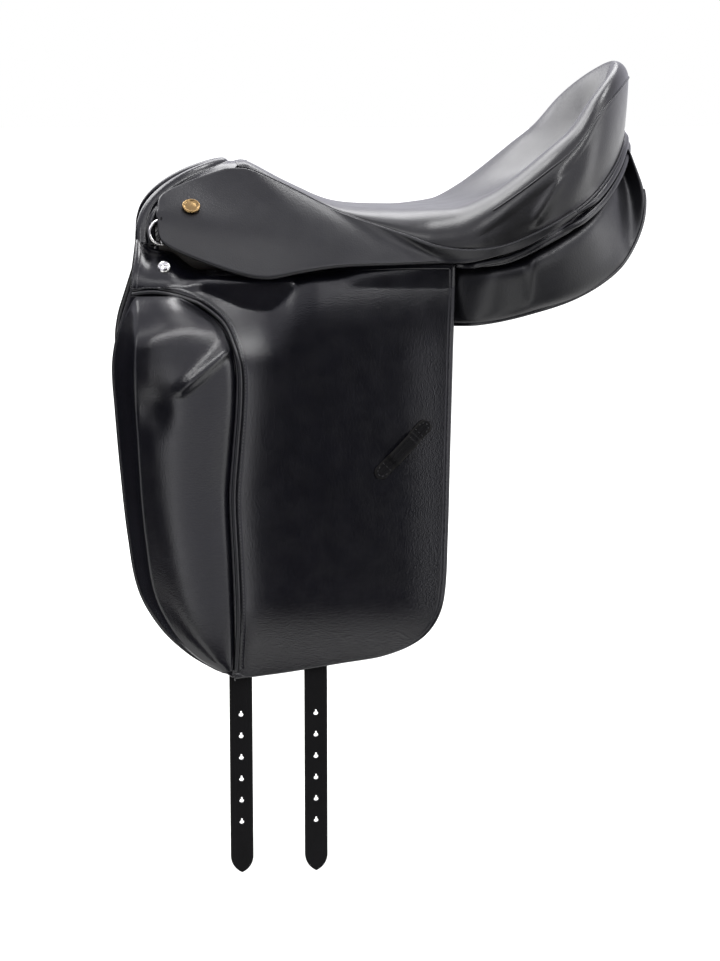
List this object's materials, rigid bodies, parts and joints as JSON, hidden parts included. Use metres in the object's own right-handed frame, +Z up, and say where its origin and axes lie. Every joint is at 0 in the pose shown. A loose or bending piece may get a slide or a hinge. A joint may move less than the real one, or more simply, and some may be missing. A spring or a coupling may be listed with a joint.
{
  "type": "dressage saddle",
  "caption": "Black leather dressage saddle with a deep seat, large external knee blocks, long girth billets, lifting flaps and skirts, and hinged stirrup-bar catches.",
  "frame": {"origin": "underside of the channel lining on the centre plane, below the seat's lowest point", "axes": "+X to the cantle, +Z up, +Y to the rider's right, so the left side seen in the picture faces -Y"},
  "size_m": [0.496, 0.3754, 0.7447],
  "materials": {
    "leather": "smooth black calf, waxed, semi-gloss",
    "lining": "black lining leather, matt",
    "strap": "black strap leather, creased edges",
    "piping": "black piping leather, glossy",
    "foam": "seat foam, hidden",
    "web": "woven web, hidden",
    "tree": "laminated beech, hidden",
    "steel": "forged steel, brushed",
    "silver": "polished nickel",
    "gold": "polished gold-coloured, plain",
    "rivet": "copper rivet"
  },
  "bodies": {
    "saddle": {"tree": "tree", "head_plate": "steel", "strainer_web": "web", "girth_web": "web", "channel_lining": "lining", "seat_foam": "foam", "seat_cover": "leather", "cantle_welt_upper": "piping", "cantle_welt_lower": "piping", "pommel_roll": "leather", "pommel_facing": "leather", "panel_left": "leather", "panel_right": "leather", "sweat_flap_left": "lining", "sweat_flap_right": "lining", "flap_root_left": "leather", "flap_root_right": "leather", "skirt_root_left": "leather", "skirt_root_right": "leather", "skirt_stud_left": "gold", "skirt_stud_right": "gold", "flap_screw_left": "silver", "flap_screw_right": "silver", "stirrup_bar_left": "steel", "stirrup_bar_right": "steel", "bar_rivets_left": "rivet", "bar_rivets_right": "rivet", "catch_pin_left": "steel", "catch_pin_right": "steel", "dee_chape_left": "lining", "dee_chape_right": "lining", "point_strap_left": "lining", "point_strap_right": "lining", "billet_rivets_left": "rivet", "billet_rivets_right": "rivet"},
    "flap_left": {"flap_left": "leather", "knee_block_left": "leather", "block_piping_left": "piping", "keeper_left": "leather"},
    "skirt_left": {"skirt_left": "leather"},
    "billet_front_left": {"billet_front_left": "strap"},
    "billet_rear_left": {"billet_rear_left": "strap"},
    "bar_catch_left": {"bar_catch_left": "steel"},
    "dee_left": {"dee_left": "silver"},
    "flap_right": {"flap_right": "leather", "knee_block_right": "leather", "block_piping_right": "piping", "keeper_right": "leather"},
    "skirt_right": {"skirt_right": "leather"},
    "billet_front_right": {"billet_front_right": "strap"},
    "billet_rear_right": {"billet_rear_right": "strap"},
    "bar_catch_right": {"bar_catch_right": "steel"},
    "dee_right": {"dee_right": "silver"}
  },
  "joints": [
    {"name": "flap_lift_left", "type": "hinge", "parent": "saddle", "child": "flap_left", "pos_m": [0, -0.1183, -0.024], "axis": [-1, 0, 0], "range_deg": [0, 60]},
    {"name": "skirt_lift_left", "type": "hinge", "parent": "saddle", "child": "skirt_left", "pos_m": [-0.233, -0.085, 0.04], "axis": [-0.9821, 0.1232, 0.1425], "range_deg": [0, 45]},
    {"name": "billet_front_swing_left", "type": "hinge", "parent": "saddle", "child": "billet_front_left", "pos_m": [-0.163, -0.0851, -0.03], "axis": [0, 1, 0], "range_deg": [-3, 8]},
    {"name": "billet_rear_swing_left", "type": "hinge", "parent": "saddle", "child": "billet_rear_left", "pos_m": [-0.094, -0.0851, -0.03], "axis": [0, 1, 0], "range_deg": [-8, 3]},
    {"name": "catch_fold_left", "type": "hinge", "parent": "saddle", "child": "bar_catch_left", "pos_m": [-0.1085, -0.0907, 0.006], "axis": [0, -1, 0], "range_deg": [0, 80]},
    {"name": "dee_swing_left", "type": "hinge", "parent": "saddle", "child": "dee_left", "pos_m": [-0.229, -0.08055, 0.025], "axis": [0, 0.2419, 0.9703], "range_deg": [0, 38]},
    {"name": "flap_lift_right", "type": "hinge", "parent": "saddle", "child": "flap_right", "pos_m": [0, 0.1183, -0.024], "axis": [1, 0, 0], "range_deg": [0, 60]},
    {"name": "skirt_lift_right", "type": "hinge", "parent": "saddle", "child": "skirt_right", "pos_m": [-0.233, 0.085, 0.04], "axis": [0.9821, 0.1232, -0.1425], "range_deg": [0, 45]},
    {"name": "billet_front_swing_right", "type": "hinge", "parent": "saddle", "child": "billet_front_right", "pos_m": [-0.163, 0.0851, -0.03], "axis": [0, 1, 0], "range_deg": [-3, 8]},
    {"name": "billet_rear_swing_right", "type": "hinge", "parent": "saddle", "child": "billet_rear_right", "pos_m": [-0.094, 0.0851, -0.03], "axis": [0, 1, 0], "range_deg": [-8, 3]},
    {"name": "catch_fold_right", "type": "hinge", "parent": "saddle", "child": "bar_catch_right", "pos_m": [-0.1085, 0.0907, 0.006], "axis": [0, -1, 0], "range_deg": [0, 80]},
    {"name": "dee_swing_right", "type": "hinge", "parent": "saddle", "child": "dee_right", "pos_m": [-0.229, 0.08055, 0.025], "axis": [0, 0.2419, -0.9703], "range_deg": [0, 38]}
  ]
}
